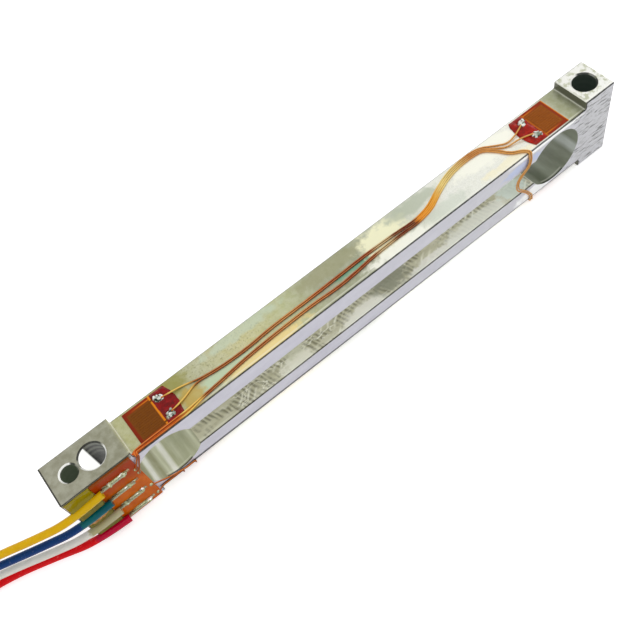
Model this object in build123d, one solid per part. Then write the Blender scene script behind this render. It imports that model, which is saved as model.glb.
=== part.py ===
from build123d import *
import math
import os

# Single-point weighing load cell. Millimetres, +X from the wired (fixed) end to the loaded end,
# the terminal board on the -Y face, +Z up, standing on the undersides of its two end blocks.

# Spring body
BAR_LENGTH = 120.0
BAR_WIDTH = 8.0
BAR_HEIGHT = 17.0
FIXED_BLOCK = 13.0
LOAD_BLOCK = 7.0
RECESS_DEPTH = 1.6
ROOT_RADIUS = 0.3
EDGE_BREAK = 0.12
BORE_DIAMETER = 12.0
FIXED_BORE_INSET = 17.4
LOAD_BORE_INSET = 14.2
SLOT_HEIGHT = 6.4
PIN_HOLE_DIAMETER = 3.0
PIN_HOLE_INSET = 3.7
SCREW_HOLE_DIAMETER = 4.5
FIXED_SCREW_INSET = 8.0
LOAD_SCREW_INSET = 3.5
HOLE_CHAMFER = 0.25

# Strain gauges: film carrier, etched foil, sealing lacquer and solder domes
GAUGE_SHIFT = 0.5
CARRIER_MARGIN = 0.5
CARRIER_OUTER = 2.8
CARRIER_INNER = 6.0
CARRIER_NOSE = 0.7
CARRIER_THICKNESS = 0.12
FOIL_THICKNESS = 0.05
GRID_MARGIN = 0.9
GRID_LINES = 12
GRID_LENGTH = 4.0
GRID_LINE_SHARE = 0.6
TAB_INSET = 3.6
TAB_SIDE_INSET = 0.05
TAB_LENGTH = 1.6
TAB_WIDTH = 1.5
LACQUER_START = 2.4
LACQUER_THICKNESS = 0.12
LACQUER_CLEARANCE = 0.15
DOME_RADIUS = 0.62
DOME_HEIGHT = 0.5

# Terminal board and what is soldered on it
BOARD_START = 4.9
BOARD_LENGTH = 7.5
BOARD_MARGIN = 0.35
BOARD_THICKNESS = 0.3
STRIP_START_INSET = 1.3
STRIP_FINISH_INSET = 1.2
STRIP_FOOT_INSET = 1.4
STRIP_HEAD_INSET = 2.6
STRIP_WIDTH = 0.85
STRIP_THICKNESS = 0.05
STRIP_COUNT = 4
JOINT_END_INSET = 0.8
JOINT_RADIUS = 0.36
DOT_RADIUS = 0.36
DOT_HEIGHT = 0.3

# Leads
LEAD_DIAMETER = 1.35
LEAD_SEAT = 0.05
LEAD_START_INSET = 0.9
CORE_DIAMETER = 0.5
CORE_FINISH_INSET = 0.7
TAIL_LENGTH = 4.0

# Enamelled wires between the gauges and the board
WIRE_DIAMETER = 0.3
WIRE_SEAT = 0.02
WIRE_PITCH = 0.34
WIRE_EDGE_LIFT = 0.2
WIRE_CHANNEL_CLEARANCE = 0.02
WIRE_PLAN_SPAN = 88.4

# Coating over the lead exits
COATING_MARGIN = 0.3
COATING_THICKNESS = 0.2
COATING_CLEARANCE = 0.1
DROP_LENGTH = 3.4
DROP_GAP = 0.12

# Places that follow from the sizes above
END = BAR_LENGTH / 2
FRONT = -BAR_WIDTH / 2
MID_HEIGHT = BAR_HEIGHT / 2
RECESS_TOP = BAR_HEIGHT - RECESS_DEPTH
FIXED_BORE_X = FIXED_BORE_INSET - END
LOAD_BORE_X = END - LOAD_BORE_INSET
FIXED_GAUGE_X = FIXED_BORE_X + GAUGE_SHIFT
LOAD_GAUGE_X = LOAD_BORE_X + GAUGE_SHIFT
CARRIER_WIDTH = BAR_WIDTH - 2 * CARRIER_MARGIN
GRID_WIDTH = CARRIER_WIDTH - 2 * GRID_MARGIN
TAB_SPACING = GRID_WIDTH - TAB_WIDTH - 2 * TAB_SIDE_INSET
FOIL_SEAT = CARRIER_THICKNESS
DOME_SEAT = CARRIER_THICKNESS + FOIL_THICKNESS
BOARD_FACE = FRONT - BOARD_THICKNESS
STRIP_FACE = BOARD_FACE - STRIP_THICKNESS
CORE_Y = STRIP_FACE - CORE_DIAMETER / 2
LEAD_Y = BOARD_FACE - LEAD_SEAT - LEAD_DIAMETER / 2
FRONT_BUILD_UP = FRONT - (STRIP_FACE - CORE_DIAMETER)
WIRE_RADIUS = WIRE_DIAMETER / 2
WIRE_LIFT = WIRE_RADIUS + WIRE_SEAT
CORD_FLOOR = LEAD_DIAMETER / 2 + 0.01
STRIP_START = BOARD_START + STRIP_START_INSET
STRIP_LENGTH = BOARD_LENGTH - STRIP_START_INSET - STRIP_FINISH_INSET
STRIP_LOWEST = BOARD_MARGIN + STRIP_FOOT_INSET
STRIP_HIGHEST = BAR_HEIGHT - BOARD_MARGIN - STRIP_HEAD_INSET
STRIP_PITCH = (STRIP_HIGHEST - STRIP_LOWEST) / (STRIP_COUNT - 1)
STRIP_HEIGHTS = [STRIP_LOWEST + STRIP_PITCH * n for n in range(STRIP_COUNT)]
JOINT_LENGTH = STRIP_LENGTH - 2 * JOINT_END_INSET
LEAD_START = BOARD_START + LEAD_START_INSET
CORE_LENGTH = STRIP_START + STRIP_LENGTH - CORE_FINISH_INSET - LEAD_START


def hole_drill(x, diameter):
    """Drill for a vertical through hole with a chamfer at both mouths."""
    radius = diameter / 2
    profile = Polyline(
        (0, 0),
        (radius + HOLE_CHAMFER, 0),
        (radius, HOLE_CHAMFER),
        (radius, BAR_HEIGHT - HOLE_CHAMFER),
        (radius + HOLE_CHAMFER, BAR_HEIGHT),
        (0, BAR_HEIGHT),
        close=True,
    )
    drill = revolve(Plane.XZ * make_face(profile), Axis.Z)
    return Pos(x, 0, 0) * drill


def window():
    """Two flexure bores joined by the slot, cut from front to back."""
    slot_length = LOAD_BORE_X - FIXED_BORE_X
    slot_middle = (LOAD_BORE_X + FIXED_BORE_X) / 2
    opening = Pos(slot_middle, MID_HEIGHT) * Rectangle(slot_length, SLOT_HEIGHT)
    for x in (FIXED_BORE_X, LOAD_BORE_X):
        opening += Pos(x, MID_HEIGHT) * Circle(BORE_DIAMETER / 2)
    return opening


def spring_body():
    """Milled bar: raised end blocks, recessed gauge faces above and below, window and holes."""
    recess_start = FIXED_BLOCK - END
    recess_end = END - LOAD_BLOCK
    recess_length = recess_end - recess_start
    recess_middle = (recess_start + recess_end) / 2
    outline = Pos(0, MID_HEIGHT) * Rectangle(BAR_LENGTH, BAR_HEIGHT)
    for height in (RECESS_DEPTH / 2, BAR_HEIGHT - RECESS_DEPTH / 2):
        outline -= Pos(recess_middle, height) * Rectangle(recess_length, RECESS_DEPTH)
    roots = [v for v in outline.vertices() if RECESS_DEPTH - 0.01 < v.Y < RECESS_TOP + 0.01]
    outline = fillet(roots, ROOT_RADIUS)
    bar = extrude(Plane.XZ * outline, BAR_WIDTH / 2, both=True)
    faces = bar.faces().filter_by(Axis.Y)
    bar = chamfer(faces.edges(), EDGE_BREAK)
    bar -= extrude(Plane.XZ * window(), BAR_WIDTH, both=True)
    bar -= hole_drill(PIN_HOLE_INSET - END, PIN_HOLE_DIAMETER)
    bar -= hole_drill(FIXED_SCREW_INSET - END, SCREW_HOLE_DIAMETER)
    bar -= hole_drill(END - LOAD_SCREW_INSET, SCREW_HOLE_DIAMETER)
    return bar


def carrier_outline():
    """Rectangle with a bowed inner end; u runs from the bore axis toward the bar's middle."""
    half = CARRIER_WIDTH / 2
    straight = CARRIER_INNER - CARRIER_NOSE
    sides = Polyline((straight, half), (-CARRIER_OUTER, half), (-CARRIER_OUTER, -half), (straight, -half))
    nose = ThreePointArc((straight, -half), (CARRIER_INNER, 0), (straight, half))
    return make_face(sides + nose)


def tab_places():
    """Centres of a gauge's two solder tabs."""
    return [(TAB_INSET, side * TAB_SPACING / 2) for side in (1, -1)]


def carrier():
    return extrude(carrier_outline(), CARRIER_THICKNESS)


def foil():
    """Serpentine grid of parallel lines with end loops, and the two solder tabs."""
    pitch = GRID_WIDTH / GRID_LINES
    line_width = pitch * GRID_LINE_SHARE
    first = -(GRID_LINES - 1) / 2 * pitch
    tab_edge = TAB_INSET - TAB_LENGTH / 2
    pattern = Sketch()
    for n in range(GRID_LINES):
        pattern += Pos(0, first + n * pitch) * Rectangle(GRID_LENGTH, line_width)
    for n in range(GRID_LINES - 1):
        side = -1 if n % 2 == 0 else 1
        loop_u = side * (GRID_LENGTH - line_width) / 2
        pattern += Pos(loop_u, first + (n + 0.5) * pitch) * Rectangle(line_width, pitch + line_width)
    for u, v in tab_places():
        pattern += Pos(u, v) * Rectangle(TAB_LENGTH, TAB_WIDTH)
        line_v = math.copysign(-first, v)
        bridge_length = tab_edge - GRID_LENGTH / 2 + line_width
        bridge_u = tab_edge - bridge_length / 2 + line_width / 2
        pattern += Pos(bridge_u, line_v) * Rectangle(bridge_length, line_width)
        reach = abs(line_v - v) + line_width / 2
        link_v = v + math.copysign(reach / 2, v)
        pattern += Pos(tab_edge + line_width / 2, link_v) * Rectangle(line_width, reach)
    return Pos(0, 0, FOIL_SEAT) * extrude(pattern, FOIL_THICKNESS)


def lacquer():
    """Sealing film over the terminal end, open around the tabs and their foil bridges."""
    cover = Pos(LACQUER_START + CARRIER_INNER / 2, 0) * Rectangle(CARRIER_INNER, CARRIER_WIDTH)
    film = carrier_outline() & cover
    window_end = TAB_INSET + TAB_LENGTH / 2 + LACQUER_CLEARANCE
    window_length = window_end - LACQUER_START + LACQUER_CLEARANCE
    window_width = GRID_WIDTH / 2 - TAB_SPACING / 2 + TAB_WIDTH / 2 + 2 * LACQUER_CLEARANCE
    outer_edge = GRID_WIDTH / 2 + LACQUER_CLEARANCE
    for side in (1, -1):
        place = Pos(window_end - window_length / 2, side * (outer_edge - window_width / 2))
        film -= place * Rectangle(window_length, window_width)
    return Pos(0, 0, CARRIER_THICKNESS) * extrude(film, LACQUER_THICKNESS)


def dome(radius, height):
    """Solder cap standing on the XY plane."""
    ball_radius = (radius**2 + height**2) / (2 * height)
    ball = Pos(0, 0, height - ball_radius) * Sphere(ball_radius)
    return ball & Pos(0, 0, ball_radius) * Box(4 * ball_radius, 4 * ball_radius, 2 * ball_radius)


def on_bar(shape, end, face):
    """Puts a gauge part, modelled on the XY plane, on the named end and face of the bar."""
    if end == "load":
        shape = shape.mirror(Plane.YZ)
    if face == "bottom":
        shape = shape.mirror(Plane.XY)
    height = RECESS_TOP if face == "top" else RECESS_DEPTH
    return Pos(FIXED_GAUGE_X if end == "fixed" else LOAD_GAUGE_X, 0, height) * shape


def front_plate(start, length, low, high, back, thickness):
    """Plate lying on the plane y = back, from x = start inboard of the wired end."""
    centre = (start + length / 2 - END, back - thickness / 2, (low + high) / 2)
    return Pos(*centre) * Box(length, thickness, high - low)


def terminal_board():
    return front_plate(
        BOARD_START, BOARD_LENGTH, BOARD_MARGIN, BAR_HEIGHT - BOARD_MARGIN, FRONT, BOARD_THICKNESS
    )


def terminal_strip(height):
    low, high = height - STRIP_WIDTH / 2, height + STRIP_WIDTH / 2
    return front_plate(STRIP_START, STRIP_LENGTH, low, high, BOARD_FACE, STRIP_THICKNESS)


def lead_core(height):
    """Bared conductor lying along its strip."""
    rod = Cylinder(CORE_DIAMETER / 2, CORE_LENGTH, rotation=(0, 90, 0))
    return Pos(LEAD_START + CORE_LENGTH / 2 - END, CORE_Y, height) * rod


def strip_joint(height):
    """Long solder mound on a strip, with the conductor's channel in it."""
    half = JOINT_LENGTH / 2
    mound = Cylinder(JOINT_RADIUS, JOINT_LENGTH, rotation=(0, 90, 0))
    for side in (-half, half):
        mound += Pos(side, 0, 0) * Sphere(JOINT_RADIUS)
    middle = STRIP_START + STRIP_LENGTH / 2 - END
    cutter = Pos(0, JOINT_RADIUS, 0) * Box(2 * JOINT_LENGTH, 2 * JOINT_RADIUS, 4 * JOINT_RADIUS)
    return Pos(middle, STRIP_FACE, height) * (mound - cutter) - lead_core(height)


def bend_radii(points):
    """Arc at each corner: 0.45 of its shorter run over the tangent of half the turn."""
    radii = []
    for before, here, after in zip(points, points[1:], points[2:]):
        run_in, run_out = here - before, after - here
        half_turn = math.radians(run_in.get_angle(run_out)) / 2
        radii.append(0.45 * min(run_in.length, run_out.length) / math.tan(half_turn))
    return radii


def tube(points, diameter):
    """Round rod along straight runs joined by tangent arcs."""
    path = FilletPolyline(*points, radius=bend_radii(points))
    section = Plane(path @ 0, z_dir=path % 0) * Circle(diameter / 2)
    return sweep(section, path)


# Each lead: how far it rises from its strip to the bar's end, then its free route as distance
# past the wired end, offset from the bar's mid-plane and height of the axis.
LEAD_ROUTES = {
    "yellow": (-0.85, [(7.0, -2.6, 11.5), (13.0, 0.1, 9.7), (22.0, 4.3, 5.9), (32.0, 6.4, 2.0),
                      (42.0, 5.6, CORD_FLOOR), (55.0, 3.4, CORD_FLOOR), (69.0, 2.4, CORD_FLOOR),
                      (81.0, 3.2, CORD_FLOOR)]),
    "blue": (-0.55, [(7.0, -2.8, 8.3), (13.6, -0.3, 7.1), (22.5, 3.5, 4.6), (32.0, 5.2, 1.7),
                   (42.0, 4.4, CORD_FLOOR), (55.0, 2.2, CORD_FLOOR), (69.0, 1.2, CORD_FLOOR),
                   (81.6, 2.0, CORD_FLOOR)]),
    "white": (-0.35, [(7.0, -2.9, 4.9), (14.4, -0.2, 4.2), (23.0, 2.5, 3.0), (32.0, 4.0, 1.4),
                    (42.0, 3.2, CORD_FLOOR), (55.0, 1.0, CORD_FLOOR), (69.0, 0.0, CORD_FLOOR),
                    (80.6, 0.7, CORD_FLOOR)]),
    "red": (0.55, [(7.0, -2.6, 2.0), (15.5, 0.4, 1.2), (24.0, 1.7, CORD_FLOOR), (33.0, 2.6, CORD_FLOOR),
                  (42.5, 1.9, CORD_FLOOR), (55.0, -0.2, CORD_FLOOR), (69.0, -1.2, CORD_FLOOR),
                  (81.2, -0.4, CORD_FLOOR)]),
}


def lead_points(colour, strip_height):
    rise, free = LEAD_ROUTES[colour]
    points = [
        Vector(LEAD_START - END, LEAD_Y, strip_height),
        Vector(-END - 0.6, LEAD_Y, strip_height + rise),
    ]
    return points + [Vector(-END - out, side, height) for out, side, height in free]


def lead_tail(points):
    """Stripped and tinned end of a lead, in line with its last run."""
    along = (points[-1] - points[-2]).normalized()
    section = Plane(points[-1], z_dir=along) * Circle(CORE_DIAMETER / 2)
    return extrude(section, TAIL_LENGTH)


def coating():
    """Clear film on the front face between the bar's end and the board."""
    length = BOARD_START - COATING_CLEARANCE - COATING_MARGIN
    high = BAR_HEIGHT - COATING_MARGIN
    return front_plate(COATING_MARGIN, length, COATING_MARGIN, high, FRONT, COATING_THICKNESS)


def adhesive_drop():
    """Tongue of adhesive on the film between the blue and the white lead."""
    face = FRONT - COATING_THICKNESS
    low = STRIP_HEIGHTS[1] + LEAD_DIAMETER / 2 + DROP_GAP
    high = STRIP_HEIGHTS[2] - LEAD_DIAMETER / 2 - DROP_GAP
    outer_low, outer_high = low + 0.9, high - 0.9
    start = COATING_MARGIN - END
    finish = start + DROP_LENGTH
    outline = Polyline(
        (start, (outer_low + outer_high) / 2), (finish, low), (finish, high), close=True
    )
    return extrude(Pos(0, face, 0) * (Plane.XZ * make_face(outline)), LEAD_DIAMETER / 2)


def beside(points, offset):
    """Points moved sideways in plan by offset, to the left of the way they run."""
    moved = []
    for n, here in enumerate(points):
        before, after = points[max(n - 1, 0)], points[min(n + 1, len(points) - 1)]
        way = Vector(after.X - before.X, after.Y - before.Y, 0).normalized()
        moved.append(here + Vector(-way.Y, way.X, 0) * offset)
    return moved


def on_top(pairs, x_from, lift=WIRE_LIFT):
    """Plan points, x measured from x_from, laid on the upper recess."""
    return [Vector(x_from + x, y, RECESS_TOP + lift) for x, y in pairs]


ON_LACQUER = CARRIER_THICKNESS + LACQUER_THICKNESS + WIRE_LIFT
ON_DOME = DOME_SEAT + DOME_HEIGHT / 2
FACE_Y = FRONT - WIRE_LIFT
BOARD_Y = BOARD_FACE - WIRE_LIFT
BACK = -FRONT
TAB_Y = TAB_SPACING / 2
BOARD_WIRES = ["bridge_wire_3", "bridge_wire_4", "bridge_wire_5", "bridge_wire_6"]
# The two wires on each gauge's tabs, and whether they start or end there.
GAUGE_WIRES = {
    ("fixed", "top"): (["bridge_wire_1", "bridge_wire_2"], True),
    ("fixed", "bottom"): (["bridge_wire_5", "bridge_wire_6"], False),
    ("load", "top"): (["bridge_wire_1", "bridge_wire_2"], False),
    ("load", "bottom"): (["bridge_wire_3", "bridge_wire_4"], False),
}

# Plan of the wires on the upper recess: x from the fixed gauge's grid, then from the load gauge's,
# written for gauges that are WIRE_PLAN_SPAN apart and stretched with them.
UPPER_PAIR = [(10.6, 0.0), (14.6, -0.6), (19.6, -0.8), (25.2, -0.4), (33.0, -0.45)]
LOWER_PAIR = [(8.4, -3.1), (13.2, -2.7), (18.2, -2.15), (25.2, -1.85), (33.0, -1.75)]
UPPER_FAR = [(-50.0, -0.4), (-43.8, -0.25), (-37.6, -0.35)]
LOWER_FAR = [(-50.4, -2.1), (-46.6, -1.95), (-42.0, -1.45), (-36.6, -1.3)]
RIBBON = [(-31.6, -1.15), (-28.0, -0.5), (-24.4, 1.3), (-20.6, BACK - 1.3), (-16.6, BACK - 0.85),
          (-13.0, BACK - 1.15)]


def round_edge(x, face, up, lift=WIRE_LIFT, inset=2 * WIRE_EDGE_LIFT):
    """Points taking a wire from the recess at height face (up 1 above, -1 below) to the front."""
    corner = max(lift, WIRE_EDGE_LIFT)
    return [
        Vector(x, FRONT + inset, face + up * lift),
        Vector(x, FRONT - WIRE_EDGE_LIFT, face + up * corner),
        Vector(x, FRONT - WIRE_EDGE_LIFT, face - up * 2 * WIRE_EDGE_LIFT),
    ]


def stretched(pairs):
    """Plan points with x scaled to the real distance between the gauges."""
    scale = (LOAD_GAUGE_X - FIXED_GAUGE_X) / WIRE_PLAN_SPAN
    return [(x * scale, y) for x, y in pairs]


def long_route(near, far, start, finish, strand, ribbon_strand):
    """One strand: its start, its pair's two plan stretches, the shared ribbon and its own end."""
    pair = on_top(stretched(near), FIXED_GAUGE_X) + on_top(stretched(far), LOAD_GAUGE_X)
    pair = beside(pair, strand * WIRE_PITCH)
    ribbon = beside(on_top(stretched(RIBBON), LOAD_GAUGE_X), ribbon_strand * WIRE_PITCH)
    return start + pair + ribbon + finish


def upper_wires():
    """Two strands from the fixed gauge's tabs to the load gauge's tabs."""
    first = on_top([(TAB_INSET + 0.3, TAB_Y - 0.25)], FIXED_GAUGE_X, ON_DOME)
    first += on_top([(TAB_INSET + 2.2, 1.3)], FIXED_GAUGE_X, ON_LACQUER)
    first += on_top([(7.9, 1.05)], FIXED_GAUGE_X)
    second = on_top([(TAB_INSET + 0.3, -TAB_Y + 0.1)], FIXED_GAUGE_X, ON_DOME)
    second += on_top([(TAB_INSET + 1.6, -1.5)], FIXED_GAUGE_X, ON_LACQUER)
    second += on_top([(7.2, -0.95), (9.0, -0.25)], FIXED_GAUGE_X)
    far_first = on_top([(-10.6, 1.6), (-8.6, 0.3)], LOAD_GAUGE_X)
    far_first += on_top([(-6.2, 0.6), (-TAB_INSET - 0.3, TAB_Y - 0.2)], LOAD_GAUGE_X, ON_LACQUER + 0.1)
    far_second = on_top([(-11.1, 1.2), (-9.3, -0.3)], LOAD_GAUGE_X)
    far_second += on_top([(-6.6, -0.6), (-TAB_INSET - 0.3, -TAB_Y + 0.2)], LOAD_GAUGE_X, ON_LACQUER + 0.1)
    return {
        "bridge_wire_1": long_route(UPPER_PAIR, UPPER_FAR, first, far_first, 0.5, 1.5),
        "bridge_wire_2": long_route(UPPER_PAIR, UPPER_FAR, second, far_second, -0.5, 0.5),
    }


def lower_wires():
    """Two strands from the board, over the recess and down the front face to the lower load gauge."""
    routes = {}
    for n, side in enumerate((0.5, -0.5)):
        shift = (0.5 - side) * WIRE_PITCH
        edge_y = FRONT + CARRIER_MARGIN + 0.25 - (0.5 - side) * 0.47
        edge_lift = ON_LACQUER if n == 0 else WIRE_LIFT
        board_edge = BOARD_START + BOARD_LENGTH - END
        start = [
            Vector(board_edge - 0.5 + 0.1 * n, BOARD_Y, BAR_HEIGHT - 4.4 - 1.4 * n),
            Vector(board_edge + 0.35 + shift, BOARD_Y + 0.1, BAR_HEIGHT - 2.8 - shift),
        ]
        inset = max(edge_y - FRONT, 2 * WIRE_EDGE_LIFT)
        start += reversed(round_edge(board_edge + 0.95 + shift, RECESS_TOP, 1, inset=inset))
        start += on_top([(-2.4 + 2 * shift, edge_y), (6.2, edge_y)], FIXED_GAUGE_X, edge_lift)
        drop_x = LOAD_GAUGE_X - 7.2 - 1.3 * shift
        turn = [(-11.0, 0.6), (-9.7, -1.6), (-7.9, -2.7)]
        finish = on_top([(x - shift, y - 0.7 * shift) for x, y in turn], LOAD_GAUGE_X)
        finish += round_edge(drop_x, RECESS_TOP, 1)
        finish += [
            Vector(drop_x + 0.15, FACE_Y - 0.1, RECESS_TOP - 1.8),
            Vector(drop_x - 0.3, FACE_Y - 0.1, RECESS_TOP - 3.3 + shift / 2),
            Vector(drop_x - 2.9, FACE_Y - 0.1, RECESS_TOP - 5.2 + shift / 2),
            Vector(drop_x - 2.9, FACE_Y - 0.1, RECESS_DEPTH + 6.2 - shift / 2),
            Vector(drop_x - 0.5, FACE_Y - 0.1, RECESS_DEPTH + 3.6),
            Vector(drop_x + 0.9, FACE_Y - 0.1, RECESS_DEPTH + 1.4),
        ]
        finish += reversed(round_edge(drop_x + 1.1, RECESS_DEPTH, -1, ON_LACQUER))
        tab_y = TAB_Y if n else -TAB_Y
        under = RECESS_DEPTH - ON_LACQUER - 0.05
        finish += [
            Vector(LOAD_GAUGE_X - TAB_INSET - 1.9 - shift, tab_y - 1.2, under),
            Vector(LOAD_GAUGE_X - TAB_INSET - 0.3, tab_y - 0.2, under),
        ]
        routes[f"bridge_wire_{n + 3}"] = long_route(
            LOWER_PAIR, LOWER_FAR, start, finish, side, side - 1
        )
    return routes


def short_wires():
    """Two strands from the board's foot to the lower fixed gauge."""
    board_edge = BOARD_START + BOARD_LENGTH - END
    under = RECESS_DEPTH - ON_LACQUER - 0.05
    first = [
        Vector(board_edge - 0.45, BOARD_Y, 1.7),
        Vector(board_edge + 0.8, FACE_Y, 2.05),
        Vector(board_edge + 3.4, FACE_Y, 2.0),
    ]
    first += reversed(round_edge(board_edge + 5.0, RECESS_DEPTH, -1, ON_LACQUER))
    first += [
        Vector(FIXED_GAUGE_X + 1.9, FRONT + 1.2, under),
        Vector(FIXED_GAUGE_X + TAB_INSET - 0.3, -TAB_Y - 0.2, under),
    ]
    second = [
        Vector(board_edge - 0.45, BOARD_Y, 5.3),
        Vector(board_edge + 0.5, FACE_Y - 0.15, 4.5),
        Vector(board_edge + 3.0, FACE_Y - 0.15, 3.0),
        Vector(board_edge + 5.6, FACE_Y - 0.15, 2.2),
    ]
    second += reversed(round_edge(board_edge + 7.6, RECESS_DEPTH, -1, ON_LACQUER))
    second += [
        Vector(FIXED_GAUGE_X + TAB_INSET + 1.4, FRONT + 1.8, under),
        Vector(FIXED_GAUGE_X + TAB_INSET + 1.5, 0.4, under),
        Vector(FIXED_GAUGE_X + TAB_INSET + 0.3, TAB_Y - 0.2, under),
    ]
    return {"bridge_wire_5": first, "bridge_wire_6": second}


def channel(points):
    """Room for the end of a wire in solder, a little wider than the wire."""
    return tube(points, WIRE_DIAMETER + 2 * WIRE_CHANNEL_CLEARANCE)


def board_dots(routes):
    """Small solder dots where wires start on the board."""
    dots = []
    for name in BOARD_WIRES:
        start = routes[name][0]
        dot = Pos(start.X, BOARD_FACE, start.Z) * dome(DOT_RADIUS, DOT_HEIGHT).rotate(Axis.X, 90)
        dots += (dot - channel(routes[name][:3])).solids()
    return Compound(dots)


def tab_solder(end, face, routes):
    """The two domes of one gauge, with the channels of the wires that end in them."""
    wires, at_start = GAUGE_WIRES[end, face]
    domes = []
    for place in tab_places():
        one = on_bar(Pos(*place, DOME_SEAT) * dome(DOME_RADIUS, DOME_HEIGHT), end, face)
        for name in wires:
            one -= channel(routes[name][:3] if at_start else routes[name][-3:])
        domes += one.solids()
    return Compound(domes)


def save(shape, name):
    """Writes one sub-part, moved so that the whole object is centred on the origin in plan."""
    export_step(Pos(0, FRONT_BUILD_UP / 2, 0) * shape, f"parts/{name}.step")


def main():
    os.makedirs("parts", exist_ok=True)
    save(spring_body(), "spring_body")
    save(terminal_board(), "terminal_board")
    save(coating(), "lead_coating")
    save(adhesive_drop(), "adhesive_drop")

    routes = upper_wires() | lower_wires() | short_wires()
    for name, points in routes.items():
        save(tube(points, WIRE_DIAMETER), name)
    save(board_dots(routes), "board_wire_solder")

    for end, face in GAUGE_WIRES:
        save(on_bar(carrier(), end, face), f"gauge_carrier_{end}_{face}")
        save(on_bar(foil(), end, face), f"gauge_foil_{end}_{face}")
        save(on_bar(lacquer(), end, face), f"gauge_lacquer_{end}_{face}")
        save(tab_solder(end, face, routes), f"gauge_solder_{end}_{face}")

    for colour, height in zip(LEAD_ROUTES, reversed(STRIP_HEIGHTS)):
        points = lead_points(colour, height)
        print(colour, "bend radii", [round(radius, 1) for radius in bend_radii(points)])
        lead = tube(points, LEAD_DIAMETER)
        print(colour, "volume", round(lead.volume, 2))
        save(lead, f"lead_{colour}")
        save(lead_core(height), f"lead_core_{colour}")
        save(lead_tail(points), f"lead_tail_{colour}")
        save(strip_joint(height), f"lead_joint_{colour}")
        save(terminal_strip(height), f"terminal_strip_{colour}")


main()
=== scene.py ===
"""Looks of a bare single-point weighing load cell, laid on a white table."""

import math

import bmesh
import bpy
from bpy.props import FloatProperty, FloatVectorProperty, PointerProperty
from mathutils import Euler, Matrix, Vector, noise


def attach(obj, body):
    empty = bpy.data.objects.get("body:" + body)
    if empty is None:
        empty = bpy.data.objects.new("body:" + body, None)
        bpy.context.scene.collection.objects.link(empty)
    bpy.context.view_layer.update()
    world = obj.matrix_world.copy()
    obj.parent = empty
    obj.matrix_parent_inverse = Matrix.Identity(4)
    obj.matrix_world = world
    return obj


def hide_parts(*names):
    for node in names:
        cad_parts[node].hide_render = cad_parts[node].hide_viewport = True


bl_info = {
    "name": "Weighing Load Cell",
    "version": (1, 0, 0),
    "blender": (4, 5, 0),
    "location": "3D View > Sidebar > Load Cell",
    "description": "Dresses a packed weighing load cell with its finishes, leads, solder and studio",
    "category": "Object",
}

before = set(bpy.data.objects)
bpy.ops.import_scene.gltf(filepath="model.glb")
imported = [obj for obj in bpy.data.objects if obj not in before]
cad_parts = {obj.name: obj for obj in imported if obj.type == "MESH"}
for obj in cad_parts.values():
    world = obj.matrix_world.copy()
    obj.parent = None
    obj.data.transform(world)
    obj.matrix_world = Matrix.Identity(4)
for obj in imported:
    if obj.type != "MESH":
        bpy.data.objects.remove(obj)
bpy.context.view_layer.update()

MM = 0.001
ROOT = "root"

# Sizes repeated from the solids, in millimetres of the shared frame
HALF_LENGTH = 60.0
HALF_WIDTH = 4.0
MID_Y = 0.425
FRONT = MID_Y - HALF_WIDTH
MID_HEIGHT = 8.5
RECESS_TOP = 15.4
RECESS_DEPTH = 1.6
BLOCK_END = -47.0
LOAD_BLOCK = 53.0
FIXED_GAUGE_X = -42.1
LOAD_GAUGE_X = 46.3
FIXED_SCREW_X = -52.0
BORE_RADIUS = 6.0
STRIP_FACE = FRONT - 0.35
LEAD_Y = MID_Y - 5.025
LEAD_START = -54.2
CORD_FLOOR = 0.685
# Heights and reach along the bar that take in the window's walls and nothing else
WINDOW_LOW, WINDOW_HIGH, WINDOW_REACH = 2.2, 14.8, 52.0
STRIP_HEIGHTS = {"yellow": 14.05, "blue": 9.95, "white": 5.85, "red": 1.75}
# Lumps on each joint: place along it, half length and half width
JOINT_LUMPS = {
    "yellow": [(1.3, 0.7, 0.4), (-1.2, 0.6, 0.44)],
    "blue": [(0.9, 0.8, 0.4)],
    "white": [(1.5, 0.6, 0.58), (-1.5, 0.6, 0.6)],
    "red": [(1.2, 0.8, 0.46)],
}
EXIT_HEIGHTS = {"yellow": 13.2, "blue": 9.4, "white": 5.5, "red": 2.3}

# Free route of each lead: distance past the wired end, offset from the bar's middle, and height
# where it doesn't lie on the table
LEAD_ROUTES = {
    "yellow": [(7.0, -2.6, 11.5), (13.0, 0.1, 9.7), (22.0, 4.3, 5.9), (32.0, 6.4, 2.0),
               (42.0, 5.6), (55.0, 3.4), (69.0, 2.4), (81.0, 3.2)],
    "blue": [(7.0, -2.8, 8.3), (13.6, -0.3, 7.1), (22.5, 3.5, 4.6), (32.0, 5.2, 1.7),
             (42.0, 4.4), (55.0, 2.2), (69.0, 1.2), (81.6, 2.0)],
    "white": [(7.0, -2.9, 4.9), (14.4, -0.2, 4.2), (23.0, 2.5, 3.0), (32.0, 4.0, 1.4),
              (42.0, 3.2), (55.0, 1.0), (69.0, 0.0), (80.6, 0.7)],
    "red": [(7.0, -2.6, 2.0), (15.5, 0.4, 1.2), (24.0, 1.7), (33.0, 2.6), (42.5, 1.9),
            (55.0, -0.2), (69.0, -1.2), (81.2, -0.4)],
}


def screen(red, green, blue):
    """Linear colour of a colour given as it shows on screen, 0 to 255."""
    linear = []
    for level in (red, green, blue):
        share = level / 255
        linear.append(share / 12.92 if share <= 0.04045 else ((share + 0.055) / 1.055) ** 2.4)
    return tuple(linear)


def with_alpha(colour):
    return (*tuple(colour)[:3], 1.0)


def colour_prop(name, description, red, green, blue):
    return FloatVectorProperty(
        name=name, description=description, default=screen(red, green, blue),
        subtype="COLOR", size=3, min=0.0, max=1.0,
    )


def length_prop(name, description, metres):
    return FloatProperty(
        name=name, description=description, default=metres, subtype="DISTANCE", unit="LENGTH",
    )


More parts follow.
